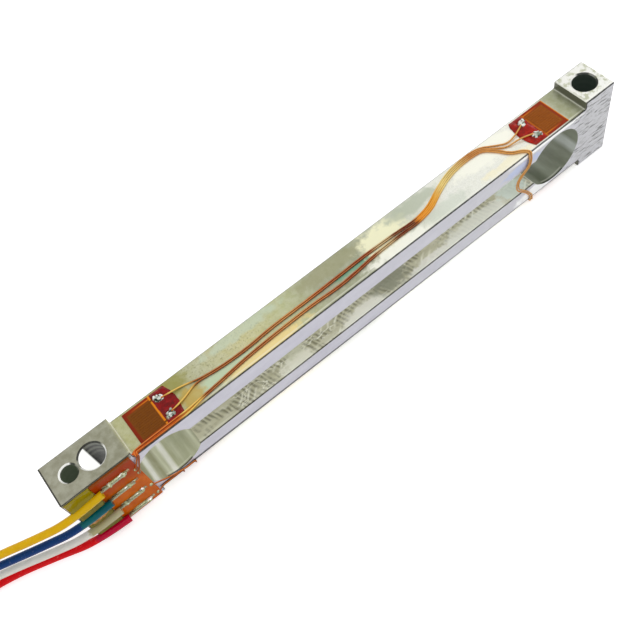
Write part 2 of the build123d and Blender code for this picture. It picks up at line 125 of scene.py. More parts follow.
class StageSettings(bpy.types.PropertyGroup):
    """Table, lamps and camera."""

    camera_place: FloatVectorProperty(
        name="Camera Place", description="Where the camera stands, in metres",
        default=(-0.037534, -0.070947, 0.132051), subtype="TRANSLATION", unit="LENGTH",
    )
    camera_turn: FloatVectorProperty(
        name="Camera Turn", description="How the camera is turned",
        default=tuple(math.radians(a) for a in (30.3893, 9.4318, -38.1192)), subtype="EULER",
    )
    camera_lens: FloatProperty(
        name="Lens", description="Focal length on a 36 mm sensor, in millimetres", default=46.513,
    )
    table_colour: colour_prop("Table", "Colour of the table", 246, 246, 246)
    key_power: FloatProperty(
        name="Key Power", description="Power of the large lamp overhead", default=0.42, unit="POWER",
    )
    side_power: FloatProperty(
        name="Side Power", description="Power of the lamp at the loaded end", default=0.12, unit="POWER",
    )


class BodySettings(bpy.types.PropertyGroup):
    """Milled spring body."""

    front_colour: colour_prop("Front Face", "Brushed side faces", 198, 197, 209)
    # painted shade: the loaded end block's step wall is darkened, while the wired end's step wall is painted
    # white as a highlight
    shaded_step_wall_colour: colour_prop("Step Walls", "Wall of the loaded end block's step", 112, 114, 98)
    slot_colour: colour_prop("Window Wall", "Milled walls of the window", 196, 194, 166)
    # painted dark reflection along the broken edges and painted shade along the foot of the front face
    edge_and_foot_shade_colour: colour_prop("Edges", "Dark line along the broken edges", 18, 20, 16)
    edge_width: FloatProperty(
        name="Edge Line", description="Width of the line along the edges, in millimetres", default=0.24,
    )


class GaugeSettings(bpy.types.PropertyGroup):
    """Strain gauges."""

    film_colour: colour_prop("Film", "Carrier film of the gauges", 148, 46, 0)
    foil_colour: colour_prop("Grid", "Etched grid", 122, 66, 6)
    line_colour: colour_prop("Border Line", "Bright line at the grid's border", 246, 146, 22)
    tab_colour: colour_prop("Tabs", "Tinned solder tabs", 112, 122, 94)
    lacquer_colour: colour_prop("Lacquer", "Sealing lacquer", 156, 4, 6)
    # painted highlight: the solder's white
    solder_colour: colour_prop("Solder", "Solder mounds", 255, 255, 250)
    lacquer_height: length_prop("Lacquer Height", "Thickest part of the lacquer", 0.00034)
    solder_height: length_prop("Solder Height", "Height of the mounds on the tabs", 0.00062)


class BoardSettings(bpy.types.PropertyGroup):
    """Terminal board on the front face."""

    film_colour: colour_prop("Board", "Orange-brown film board", 216, 106, 0)
    dark_colour: colour_prop("Board Top", "Darker end of the board", 162, 46, 0)
    strip_colour: colour_prop("Strips", "Tinned strips", 196, 206, 170)


class LeadSettings(bpy.types.PropertyGroup):
    """Insulated leads and the film over their exits."""

    diameter: length_prop("Lead Diameter", "Diameter over the insulation", 0.00135)
    length: length_prop("Lead Length", "Insulated length of each lead", 0.09)
    yellow: colour_prop("Yellow", "Insulation of the yellow lead", 244, 192, 0)
    blue: colour_prop("Blue", "Insulation of the blue lead", 0, 60, 124)
    white: colour_prop("White", "Insulation of the white lead", 246, 243, 232)
    red: colour_prop("Red", "Insulation of the red lead", 236, 0, 16)
    film_colour: colour_prop("Coating", "Film over the exits", 150, 146, 70)
    adhesive_colour: colour_prop("Adhesive", "Tongue of adhesive", 206, 140, 24)


class WireSettings(bpy.types.PropertyGroup):
    """Enamelled wires."""

    # painted shade on the wires' flanks
    flank_shade_colour: colour_prop("Deep Enamel", "Enamel where it is thick", 84, 26, 6)


class Shading:
    """Short ways to put nodes in one shader tree, with the place on the object at hand."""

    def __init__(self, tree, material=None):
        self.tree = tree
        self.material = material
        self.place = self.x = self.y = self.z = None

    def join(self, node, sockets):
        """Links or sets a node's inputs."""
        for key, value in sockets.items():
            if isinstance(value, bpy.types.NodeSocket):
                self.tree.links.new(value, node.inputs[key])
            else:
                node.inputs[key].default_value = value

    def add(self, kind, sockets=None, **settings):
        made = self.tree.nodes.new(f"ShaderNode{kind}")
        for name, value in settings.items():
            setattr(made, name, value)
        self.join(made, sockets or {})
        return made

    def group(self, tree, *values):
        """Puts in a shared group, with values for its inputs in their order, and gives its outputs."""
        return self.add("Group", dict(enumerate(values)), node_tree=tree).outputs

    def math(self, operation, first, second=0.0):
        return self.add("Math", {0: first, 1: second}, operation=operation).outputs[0]

    def times(self, product, *factors):
        for factor in factors:
            product = self.math("MULTIPLY", product, factor)
        return product

    def most(self, largest, *others):
        for other in others:
            largest = self.math("MAXIMUM", largest, other)
        return largest

    def above(self, value, limit):
        return self.math("GREATER_THAN", value, limit)

    def below(self, value, limit):
        return self.math("LESS_THAN", value, limit)

    def absolute(self, value):
        return self.math("ABSOLUTE", value)

    def span(self, value, low, high, to_low=0.0, to_high=1.0):
        return self.add("MapRange", {
            "Value": value, "From Min": low, "From Max": high, "To Min": to_low, "To Max": to_high,
        }).outputs[0]

    def level(self, share, low, high):
        """From low to high while a share goes from 0 to 1."""
        return self.span(share, 0.0, 1.0, low, high)

    def mix(self, share, first, second):
        sockets = {"Factor": share}
        for index, value in ((6, first), (7, second)):
            sockets[index] = value if isinstance(value, bpy.types.NodeSocket) else with_alpha(value)
        return self.add("Mix", sockets, data_type="RGBA").outputs[2]

    def over(self, colour, tint, *shares):
        """Lays a screen colour over a colour, as strongly as all the shares multiplied."""
        return self.mix(self.times(*shares), colour, screen(*tint))

    def ramp(self, value, low, high, stops):
        """Colour along a value: stops are (place, screen colour), from low to high."""
        made = self.add("ValToRGB", {"Fac": self.span(value, low, high)})
        line = made.color_ramp.elements
        while len(line) < len(stops):
            line.new(0.5)
        for element, (place, colour) in zip(line, stops):
            element.position = (place - low) / (high - low)
            element.color = with_alpha(screen(*colour))
        return made.outputs[0]

    def noise(self, vector, scale, detail, distortion=0.0):
        return self.add("TexNoise", {
            "Vector": vector, "Scale": scale, "Detail": detail, "Roughness": 0.55,
            "Distortion": distortion,
        }).outputs[0]

    def stretch(self, vector, by):
        return self.add("VectorMath", {0: vector, 1: by}, operation="MULTIPLY").outputs[0]

    def wave(self, stretch, scale, distortion, detail=2.0, bands="DIAGONAL"):
        return self.add("TexWave", {
            "Vector": self.stretch(self.place, stretch), "Scale": scale, "Distortion": distortion,
            "Detail": detail,
        }, bands_direction=bands).outputs["Fac"]

    def facing(self):
        """The three parts of the surface's direction."""
        normal = self.add("NewGeometry").outputs["Normal"]
        return self.add("SeparateXYZ", {0: normal}).outputs

    def grain(self, stretch, spread, middle=0.5, place=None):
        """Streaks or specks; one number for the stretch means the same on all axes."""
        place = self.place if place is None else place
        stretch = stretch if isinstance(stretch, tuple) else (stretch, stretch, stretch)
        return self.group(grain_group(), place, stretch, spread, middle)[0]

    def band(self, value, centre, half_width, softness):
        return self.group(band_group(), value, centre, half_width, softness)[0]

    def finish(self, colour, rough=None, relief=None, gloss=0.5, coat=(0.0, 0.03), **others):
        """Feeds the shader: rough is (share, low, high), relief is (height, strength, distance)."""
        sockets = {"Base Color": colour, "Specular IOR Level": gloss}
        sockets["Coat Weight"], sockets["Coat Roughness"] = coat
        if rough:
            sockets["Roughness"] = self.level(*rough)
        if relief:
            names = ("Height", "Strength", "Distance")
            sockets["Normal"] = self.add("Bump", dict(zip(names, relief))).outputs[0]
        for key, value in others.items():
            sockets[key.replace("_", " ")] = value
        shader = next(n for n in self.tree.nodes if n.type == "BSDF_PRINCIPLED")
        self.join(shader, sockets)
        return self.material


FLOAT, VECTOR = "NodeSocketFloat", "NodeSocketVector"


def shared_group(name, inputs, build):
    """Shader node group, made on first use: inputs with defaults, outputs as build names them."""
    if name in bpy.data.node_groups:
        return bpy.data.node_groups[name]
    tree = bpy.data.node_groups.new(name, "ShaderNodeTree")
    for label, default in inputs.items():
        kind = VECTOR if isinstance(default, tuple) else FLOAT
        socket = tree.interface.new_socket(name=label, in_out="INPUT", socket_type=kind)
        socket.default_value = default
    made = build(Shading(tree), tree.nodes.new("NodeGroupInput").outputs)
    for label, value in made.items():
        kind = VECTOR if value.type == "VECTOR" else FLOAT
        tree.interface.new_socket(name=label, in_out="OUTPUT", socket_type=kind)
    out = tree.nodes.new("NodeGroupOutput")
    for label, value in made.items():
        tree.links.new(value, out.inputs[label])
    return tree


def place_group():
    """Place on the object in millimetres, with Y from the bar's middle."""
    def build(shade, _):
        scaled = shade.stretch(shade.add("TexCoord").outputs["Object"], (1000, 1000, 1000))
        moved = shade.add("VectorMath", {0: scaled, 1: (0, MID_Y, 0)}, operation="SUBTRACT")
        x, y, z = shade.add("SeparateXYZ", {0: moved.outputs[0]}).outputs
        return {"Place": moved.outputs[0], "X": x, "Y": y, "Z": z}

    return shared_group("Place In Millimetres", {}, build)


def grain_group():
    """Streaks or specks: noise stretched along an axis and hardened by a contrast."""
    def build(shade, entry):
        streak = shade.noise(shade.stretch(entry["Place"], entry["Stretch"]), 1.0, 5.0)
        low = shade.math("SUBTRACT", entry["Middle"], entry["Spread"])
        high = shade.math("ADD", entry["Middle"], entry["Spread"])
        return {"Mask": shade.span(streak, low, high)}

    inputs = {"Place": (0, 0, 0), "Stretch": (1, 1, 1), "Spread": 0.2, "Middle": 0.5}
    return shared_group("Stretched Grain", inputs, build)


def band_group():
    """1 where a value lies within a half width of a centre, with a soft border."""
    def build(shade, entry):
        away = shade.absolute(shade.math("SUBTRACT", entry["Value"], entry["Centre"]))
        outer = shade.math("ADD", entry["Half Width"], entry["Softness"])
        inner = shade.math("SUBTRACT", entry["Half Width"], entry["Softness"])
        return {"Mask": shade.span(away, outer, inner)}

    inputs = {"Value": 0.0, "Centre": 0.0, "Half Width": 1.0, "Softness": 0.1}
    return shared_group("Soft Band", inputs, build)


CENTRED = {"First": 0.0, "Second": 0.0, "Centre First": 0.0, "Centre Second": 0.0}


def ring_group():
    """Distance and turn about an upright or crosswise axis, for drilled and milled walls."""
    def build(shade, entry):
        across = shade.math("SUBTRACT", entry["First"], entry["Centre First"])
        along = shade.math("SUBTRACT", entry["Second"], entry["Centre Second"])
        squares = shade.math("ADD", shade.times(across, across), shade.times(along, along))
        return {"Distance": shade.math("SQRT", squares), "Turn": shade.math("ARCTAN2", along, across)}

    return shared_group("Round Axis", CENTRED, build)


def patch_group():
    """Soft-edged oval on a face, its rim made uneven by noise."""
    def build(shade, entry):
        squares = []
        for axis in ("First", "Second"):
            away = shade.math("SUBTRACT", entry[axis], entry[f"Centre {axis}"])
            away = shade.math("DIVIDE", away, entry[f"Reach {axis}"])
            squares.append(shade.times(away, away))
        reach = shade.math("SQRT", shade.math("ADD", *squares))
        uneven = shade.span(shade.noise(entry["Place"], 0.7, 4.0), 0.3, 0.7, -0.3, 0.3)
        return {"Mask": shade.span(shade.math("ADD", reach, uneven), 1.2, 0.75)}

    inputs = {"Place": (0, 0, 0), **CENTRED, "Reach First": 1.0, "Reach Second": 1.0}
    return shared_group("Soft Patch", inputs, build)


def surface(name):
    """Shading tools of a new material, with the place on the object."""
    material = bpy.data.materials.new(name)
    material.use_nodes = True
    shade = Shading(material.node_tree, material)
    shade.place, shade.x, shade.y, shade.z = shade.group(place_group())
    return shade


def paint_patches(shade, colour, first, second, patches):
    """Lays soft ovals of colour over a colour: centre, reach, screen colour and strength of each."""
    for centre, reach, tint, strength in patches:
        mask = shade.group(patch_group(), shade.place, first, second, *centre, *reach)[0]
        colour = shade.over(colour, tint, mask, strength)
    return colour


def top_finish(shade):
    """Upper faces: mottled recess with yellow and teal patches, grey wired end block; the recess whitening
    toward the loaded end, its near-white patches and the white loaded end block are painted glare.
    """
    x, y = shade.x, shade.y
    # painted glare: from x 12 on the ramp turns near white over the recess and the loaded end block's top
    colour = shade.ramp(x, -HALF_LENGTH, HALF_LENGTH, [
        (-60.0, (152, 150, 130)), (-47.4, (146, 145, 122)), (-46.6, (188, 188, 134)),
        (-36.0, (176, 174, 112)), (-31.0, (196, 196, 156)), (-22.0, (214, 208, 150)),
        (-13.0, (196, 200, 150)), (-6.0, (168, 170, 138)), (2.0, (166, 170, 140)),
        (12.0, (208, 212, 192)), (22.0, (252, 253, 244)), (46.0, (255, 255, 244)),
        (50.0, (160, 163, 126)), (52.7, (150, 154, 122)), (53.3, (250, 250, 244)),
        (60.0, (250, 250, 246)),
    ])
    specks = shade.times(shade.band(x, -26.0, 9.0, 3.0), shade.span(y, -0.6, 0.8))
    colour = shade.over(colour, (236, 238, 220), shade.grain(0.9, 0.14), 0.22)
    colour = shade.over(colour, (120, 120, 90), shade.grain(6.0, 0.16), 0.2)
    colour = shade.over(colour, (120, 120, 100), shade.grain((0.35, 14.0, 14.0), 0.2), 0.1)
    colour = shade.over(colour, (112, 110, 66), shade.grain(3.4, 0.07, 0.62), specks, 0.65)
    # the near-white patches below are painted glare
    colour = paint_patches(shade, colour, x, y, [
        ((-35.5, 2.6), (2.6, 2.2), (150, 146, 66), 0.7),
        ((-27.0, -1.9), (6.5, 1.6), (196, 216, 182), 0.8),
        ((-34.0, -1.6), (2.2, 1.9), (196, 164, 66), 0.75),
        ((-21.0, 3.0), (8.0, 1.2), (200, 216, 196), 0.55),
        ((-20.0, -3.0), (8.5, 1.1), (252, 224, 150), 0.75),
        ((1.5, -0.6), (6.0, 0.75), (122, 174, 142), 0.85),
        ((-2.0, 2.4), (8.0, 1.6), (160, 158, 120), 0.6),
        ((8.6, 0.2), (5.2, 3.6), (248, 246, 208), 0.95),
        ((9.5, -3.0), (7.0, 1.3), (252, 252, 238), 0.9),
        ((16.5, 2.4), (5.5, 1.6), (182, 190, 168), 0.75),
        ((20.5, -2.4), (5.0, 1.5), (206, 214, 198), 0.6),
        ((35.0, -2.9), (6.0, 1.0), (255, 244, 200), 0.5),
        ((33.5, 1.6), (8.0, 2.6), (255, 255, 240), 0.85),
    ])
    on_block = shade.span(x, LOAD_BLOCK + 0.2, LOAD_BLOCK + 0.4)
    return shade.over(colour, (156, 162, 116), on_block, shade.grain(0.9, 0.06, 0.56), 0.6)


def side_finish(shade, settings):
    """Brushed front and back faces, with glare over the far bore and scratches on the loaded end."""
    x, z = shade.x, shade.z
    fine = shade.grain((0.22, 9.0, 16.0), 0.24)
    colour = shade.over(settings.front_colour, (222, 221, 228), fine, 0.45)
    colour = shade.over(colour, (176, 174, 186), shade.grain((0.12, 0.5, 0.6), 0.2), 0.35)
    colour = shade.over(colour, (198, 199, 202), shade.span(x, -10.0, 50.0, 0.0, 0.7))
    glare = shade.times(shade.band(z, 15.1, 0.55, 0.2), shade.span(x, 33.0, 37.0))
    colour = shade.over(colour, (252, 252, 250), glare, shade.span(x, LOAD_BLOCK, 51.5), 0.95)
    colour = paint_patches(shade, colour, x, z, [
        ((37.5, 13.0), (4.5, 1.2), (176, 190, 226), 0.7),
        ((41.0, 2.9), (4.5, 1.6), (248, 250, 250), 0.9),
        ((56.0, 8.0), (5.5, 9.0), (188, 188, 190), 0.6),
    ])
    # painted shade: darker olive band at the top of the wired end's front face, under the top edge and above
    # the board
    painted_shade_above_board = shade.times(shade.span(x, BLOCK_END, BLOCK_END - 0.4), shade.span(z, 15.8, 16.2))
    colour = shade.over(colour, (112, 108, 66), painted_shade_above_board, 0.9)
    pits = shade.times(shade.grain((1.1, 1.8, 1.8), 0.06, 0.57), shade.span(x, 50.0, LOAD_BLOCK))
    colour = shade.over(colour, (130, 130, 124), pits, 0.35)
    scratches = shade.times(shade.grain((0.45, 3.4, 3.4), 0.02, 0.6), shade.span(x, 48.5, 50.0))
    return shade.over(colour, (46, 48, 42), scratches, 0.85), fine


# Flexure bores: X of the axis, dark and pale tone of the wall, streak density, and streaks by turn, half
# width and colour;
# the white streaks are painted highlights and the darker ones painted shade round the bore
BORE_WALLS = (
    (-42.6, (176, 179, 144), (232, 235, 214), 3.4, (
        (-2.35, 0.1, (255, 255, 252)), (-1.72, 0.08, (255, 255, 250)), (-2.6, 0.1, (132, 132, 96)),
        (-2.12, 0.12, (148, 148, 112)), (-1.15, 0.34, (164, 168, 136)), (-0.35, 0.2, (112, 112, 92)),
    )),
    (45.8, (112, 117, 100), (150, 156, 140), 1.6, (
        (-0.35, 0.16, (206, 212, 208)), (-2.55, 0.1, (244, 246, 236)), (-2.9, 0.16, (84, 90, 72)),
        (-1.85, 0.2, (92, 98, 80)),
    )),
)


def window_finish(shade, settings):
    """Window walls: crossing tool marks, painted white highlights as strokes, veins and patches in the slot,
    and streaks of painted light and shade round the bores.
    """
    x, y, z = shade.x, shade.y, shade.z
    rising = shade.wave((1.0, 0.35, 0.0), 0.7, 4.0)
    # painted highlights: white strokes crossing the tool marks, and white veins
    glint_strokes = shade.math("POWER", shade.wave((0.8, -0.9, 0.0), 0.45, 2.4, 3.0), 3.0)
    wall = shade.over(settings.slot_colour, (220, 219, 198), shade.grain((0.3, 0.9, 0.9), 0.2))
    wall = shade.over(wall, (112, 110, 86), rising, shade.grain((0.16, 0.4, 0.4), 0.05), 0.75)
    wall = shade.over(wall, (250, 250, 236), glint_strokes, shade.grain((0.12, 0.3, 0.3), 0.05, 0.55), 0.9)
    glint_vein = shade.noise(shade.stretch(shade.place, (0.22, 0.6, 0.6)), 1.0, 5.0)
    glint_vein = shade.span(shade.absolute(shade.math("SUBTRACT", glint_vein, 0.5)), 0.022, 0.008)
    wall = shade.over(wall, (252, 252, 240), glint_vein, shade.grain((0.1, 0.2, 0.2), 0.06), 0.9)
    # the near-white patches below are painted highlights
    wall = paint_patches(shade, wall, x, y, [
        ((-15.5, -3.2), (3.4, 2.0), (248, 248, 234), 0.85),
        ((-0.5, -3.4), (5.0, 1.9), (250, 250, 240), 0.95),
        ((17.0, -3.6), (7.0, 1.3), (250, 250, 244), 0.8),
        ((27.0, -2.8), (8.0, 1.8), (246, 248, 240), 0.8),
        ((37.0, -2.0), (3.0, 2.4), (232, 246, 240), 0.8),
        ((7.0, -0.6), (4.2, 2.8), (158, 160, 142), 0.9),
        ((-15.0, 0.4), (3.6, 2.2), (214, 216, 192), 0.7),
    ])
    for bore_x, low, high, density, streaks in BORE_WALLS:
        distance, turn = shade.group(ring_group(), x, z, bore_x, MID_HEIGHT)
        around = shade.add("CombineXYZ", {0: turn, 1: shade.times(y, 0.06)}).outputs[0]
        smooth = shade.grain((density, 1.0, 1.0), 0.16, place=around)
        broken = shade.grain((1.2, 3.0, 1.0), 0.3, 0.32, around)
        round_wall = shade.mix(smooth, screen(*low), screen(*high))
        # painted light and shade: streaks by turn round the bore
        for centre, half, tint in streaks:
            streak = shade.band(turn, centre, half, half * 0.5)
            round_wall = shade.over(round_wall, tint, streak, broken, 0.9)
        wall = shade.mix(shade.below(distance, BORE_RADIUS + 0.12), wall, round_wall)
    return wall, rising


# Drilled holes: X of the axis, radius, dark tone painted as shade inside, side of the rim with a painted
# highlight, strength of the rings
HOLES = (
    (-56.3, 1.5, (56, 64, 50), (-1.1, 0.8), 0.1),
    (FIXED_SCREW_X, 2.25, (22, 23, 19), (0.2, -0.98), 0.9),
    (56.5, 2.25, (30, 38, 33), (-0.95, 0.2), 0.06),
)


def hole_finish(shade, colour, nx, az):
    """Drilled walls dark as painted shade, broken mouths with a painted highlight on one side; also the
    masks of wall and glow, and the walls' tone, which the walls also glow with.
    """
    drilled, glow, hole_wall_glow = 0.0, None, (0.0, 0.0, 0.0)
    turns = shade.times(shade.wave((0.0, 0.0, 1.0), 0.22, 0.5, bands="Z"), shade.span(shade.z, 12.0, 15.5))
    for axis_x, radius, dark, highlight_side, ringed in HOLES:
        distance, turn = shade.group(ring_group(), shade.x, shade.y, axis_x, 0.0)
        toward = shade.math("ADD", shade.times(shade.math("COSINE", turn), highlight_side[0]),
                            shade.times(shade.math("SINE", turn), highlight_side[1]))
        # painted light on the mouth: darkened as shade, white on one side as a highlight
        broken = shade.over(colour, dark, 0.5)
        broken = shade.over(broken, (255, 255, 250), shade.span(toward, -0.1, 0.15))
        mouth = shade.times(shade.below(distance, radius + 0.3), shade.below(az, 0.95))
        colour = shade.mix(mouth, colour, broken)
        wall = shade.times(shade.below(distance, radius + 0.06), shade.below(az, 0.3))
        # painted shade: the wall's dark tone, with lighter tool rings near the top
        tone = shade.over(screen(*dark), (84, 86, 78), turns, ringed)
        colour = shade.mix(wall, colour, tone)
        hole_wall_glow = shade.mix(wall, hole_wall_glow, tone)
        drilled = shade.most(drilled, wall)
        # painted light: the fixed screw hole's wall glows white on its +x half
        if axis_x == FIXED_SCREW_X:
            glow = shade.times(wall, shade.span(nx, 0.2, 0.3))
    return colour, drilled, glow, hole_wall_glow


def milled_aluminium(settings):
    """Spring body: mottled top, brushed sides, tool marks in the window, painted dark reflection along the
    edges, painted shade along the foot, and painted glow in the holes and window.
    """
    shade = surface("Milled Aluminium")
    x, y, z = shade.x, shade.y, shade.z
    nx, ny, nz = shade.facing()
    ax, ay, az = (shade.absolute(n) for n in (nx, ny, nz))
    flat, upright = shade.above(az, 0.9), shade.above(ay, 0.9)

    sides, fine = side_finish(shade, settings)
    # painted light: the wired end's step wall white as a highlight, the loaded end's step wall dark as shade
    steps = shade.mix(shade.above(x, 0.0), screen(250, 250, 236), settings.shaded_step_wall_colour)
    colour = shade.mix(shade.above(shade.absolute(x), HALF_LENGTH - 1.0), steps, sides)
    colour = shade.mix(shade.span(az, 0.6, 0.8), colour, top_finish(shade))
    colour = shade.mix(shade.span(ay, 0.6, 0.8), colour, sides)

    wall, marks = window_finish(shade, settings)
    inside = shade.times(shade.above(z, WINDOW_LOW), shade.below(z, WINDOW_HIGH), shade.below(ay, 0.5),
                         shade.below(shade.absolute(x), WINDOW_REACH))
    colour = shade.mix(inside, colour, wall)

    behind = shade.above(y, 0.0)
    past_block = shade.span(x, BLOCK_END - 0.4, BLOCK_END)
    near = shade.times(shade.level(behind, 1.0, 0.6), settings.edge_width)
    # painted dark reflection: dark line along the top faces' edges
    line = shade.above(shade.math("ADD", shade.absolute(y), near), HALF_WIDTH - 0.01)
    line = shade.times(line, shade.most(past_block, behind))
    line = shade.times(flat, shade.most(line, shade.below(x, 0.26 - HALF_LENGTH)))
    # painted shade: dark line along the foot of the front and back faces
    foot = shade.times(upright, past_block, shade.below(x, LOAD_BLOCK - 0.1),
                       shade.below(z, shade.span(x, -40.0, 30.0, 2.35, 1.95)))
    # painted dark reflection on the chamfer faces
    slope = shade.span(shade.times(ay, shade.math("ADD", ax, az)), 0.3, 0.42)
    ragged = shade.level(shade.grain((1.3, 3.0, 3.0), 0.25), 0.75, 1.0)
    rim = shade.times(shade.most(line, foot, slope), ragged)
    glint = shade.times(shade.band(y, -3.45, 0.1, 0.08), shade.span(x, BLOCK_END - 0.4, BLOCK_END + 0.2))
    colour = shade.over(colour, (252, 252, 240), flat, glint, 0.4)
    colour = shade.mix(rim, colour, settings.edge_and_foot_shade_colour)
    colour, drilled, glow, hole_wall_glow = hole_finish(shade, colour, nx, az)

    height = shade.math("ADD", shade.times(fine, upright), shade.times(marks, inside, 2.0))
    # painted light: white glow for the fixed screw hole's wall, with dark blots in its lower part
    blots = shade.times(shade.grain(1.2, 0.05, 0.6), shade.span(z, 8.0, 5.0))
    lit = shade.over(screen(255, 255, 252), (30, 30, 24), blots, 0.9)
    # painted glow: the holes' walls glow with a darker copy of their tone, the window's walls faintly with
    # theirs
    hole_wall_glow = shade.over(hole_wall_glow, (0, 0, 0), 0.3)
    soft = shade.mix(shade.times(inside, shade.math("SUBTRACT", 1.0, rim), 0.07), hole_wall_glow, wall)
    metal = shade.level(shade.most(drilled, inside), 0.45, 0.0)
    return shade.finish(colour, (shade.grain(0.9, 0.16), 0.3, 0.46), (height, 0.35, 0.00002), Metallic=metal,
                        Emission_Color=shade.mix(glow, soft, lit), Emission_Strength=1.0)


def copper_enamel(settings):
    """Amber enamel over copper: deep brown and bunched orange along the bar; its pale stretches by the
    gauges and over the bunch are painted highlights, and its darker flanks painted shade.
    """
    shade = surface("Copper Enamel")
    patch = shade.grain((0.7, 2.0, 2.0), 0.2)
    # the pale stretches of this ramp are painted highlights
    colour = shade.ramp(shade.x, -HALF_LENGTH, HALF_LENGTH, [
        (-47.0, (228, 108, 10)), (-38.0, (232, 116, 8)), (-36.6, (250, 212, 104)), (-33.4, (246, 200, 92)),
        (-32.2, (182, 92, 30)), (-20.0, (190, 100, 40)), (-14.0, (226, 150, 78)), (-8.0, (214, 120, 56)),
        (-4.0, (184, 78, 20)), (4.6, (170, 66, 16)), (6.4, (226, 200, 148)), (8.8, (222, 190, 136)),
        (10.0, (122, 34, 6)), (14.2, (130, 40, 6)), (15.4, (250, 156, 28)), (20.5, (248, 176, 50)),
        (23.0, (255, 232, 150)), (27.0, (252, 222, 140)), (31.0, (214, 138, 70)), (40.0, (232, 168, 84)),
    ])
    colour = shade.over(colour, (250, 206, 130), patch, 0.25)
    # painted shade: darker flanks, weaker over the bunch and by the fixed gauge
    by_gauge = shade.times(shade.span(shade.z, 15.0, 15.3), shade.band(shade.x, -35.0, 2.2, 0.6))
    thick = shade.level(shade.most(by_gauge, shade.span(shade.x, 14.2, 16.0)), 0.75, 0.3)
    shaded_flank = shade.span(shade.absolute(shade.facing()[1]), 0.3, 0.8)
    colour = shade.mix(shade.times(shaded_flank, thick), colour, settings.flank_shade_colour)
    return shade.finish(colour, (patch, 0.22, 0.4), (patch, 0.3, 0.00003), gloss=0.15, coat=(0.1, 0.12),
                        Metallic=0.1)


def wire_varnish():
    """Orange varnish over the bunched wires, redder along the front edge."""
    shade = surface("Wire Varnish")
    patch = shade.grain((0.8, 1.6, 1.6), 0.2)
    colour = shade.ramp(shade.x, -50.0, 30.0, [
        (-47.0, (216, 88, 0)), (-38.0, (226, 102, 0)), (-36.0, (220, 140, 20)), (14.0, (206, 92, 10)),
        (15.2, (252, 154, 24)), (19.0, (250, 170, 40)), (22.0, (244, 214, 120)),
    ])
    colour = shade.over(colour, (168, 58, 8), patch, 0.4)
    return shade.finish(colour, (patch, 0.16, 0.34), (patch, 0.5, 0.00006), gloss=0.12, coat=(0.1, 0.08))


def bright_solder(settings):
    """Cooled solder: white as painted highlight over green-grey, near-black specks as painted shadow; board
    joints lighter where they face up, as painted light, and duller.
    """
    shade = surface("Bright Solder")
    lumps = shade.noise(shade.place, 1.9, 4.0)
    flux = shade.grain(1.1, 0.03, 0.56)
    colour = shade.over(settings.solder_colour, (214, 224, 214), lumps)
    colour = shade.over(colour, (116, 138, 108), flux, 0.8)
    # painted shadow: near-black specks
    colour = shade.over(colour, (28, 26, 18), shade.grain(1.5, 0.03, 0.56), 0.95)
    # painted light: board joints lighter where they face up, with white painted highlights on upward crests
    up = shade.facing()[2]
    joint = shade.over(screen(104, 98, 50), (176, 184, 142), shade.span(up, -0.1, 0.5))
    painted_crest_highlight = shade.grain((1.0, 1.6, 1.6), 0.04, 0.58)
    joint = shade.over(joint, (255, 255, 250), shade.span(up, 0.3, 0.7), painted_crest_highlight)
    # dark spots on the joints by the white strip
    dark_spots = shade.times(shade.grain(1.3, 0.03, 0.6), shade.band(shade.z, STRIP_HEIGHTS["white"], 1.0, 0.3))
    joint = shade.over(joint, (40, 36, 22), dark_spots, 0.85)
    dull = shade.span(shade.y, -3.6, -3.9)
    strength = shade.level(dull, 0.9, 0.3)
    return shade.finish(shade.mix(dull, colour, joint), (flux, 0.22, 0.45), (lumps, strength, 0.00015),
                        Metallic=0.55)


def gauge_place(shade):
    """Distance from a gauge's grid toward the bar's middle, at either end, in millimetres."""
    fixed = shade.math("SUBTRACT", shade.x, FIXED_GAUGE_X)
    load = shade.math("SUBTRACT", LOAD_GAUGE_X, shade.x)
    spread = shade.times(shade.below(shade.x, 0.0), shade.math("SUBTRACT", fixed, load))
    return shade.math("ADD", load, spread)


def carrier_film(settings):
    """Red-brown film, brown under the grid, with orange lines at the grid's border."""
    shade = surface("Carrier Film")
    along = gauge_place(shade)
    load = shade.above(shade.x, 0.0)
    haze = shade.grain(1.1, 0.2)
    colour = shade.over(settings.film_colour, (158, 44, 0), haze)
    dark_end = shade.times(shade.span(along, -1.6, -3.0), shade.math("SUBTRACT", 1.0, load))
    colour = shade.over(colour, (96, 20, 4), dark_end, 0.5)
    under = shade.over(screen(158, 82, 8), (136, 70, 6), haze)
    under = shade.mix(load, screen(130, 72, 8), under)
    grid = shade.times(shade.band(along, 0.0, 2.2, 0.1), shade.band(shade.y, 0.0, 2.75, 0.1))
    colour = shade.mix(grid, colour, under)
    border = shade.times(shade.band(along, 2.35, 0.17, 0.08), shade.level(load, 1.0, 0.35))
    sides = shade.band(shade.absolute(shade.y), 2.95, 0.1, 0.08)
    sides = shade.times(sides, shade.span(along, -1.5, 1.2), 0.7)
    rear = shade.times(shade.band(along, -2.72, 0.1, 0.06), load, 0.8)
    colour = shade.mix(shade.most(border, sides, rear), colour, settings.line_colour)
    return shade.finish(colour, (haze, 0.3, 0.45), (haze, 0.2, 0.00003), gloss=0.12, coat=(0.06, 0.1))


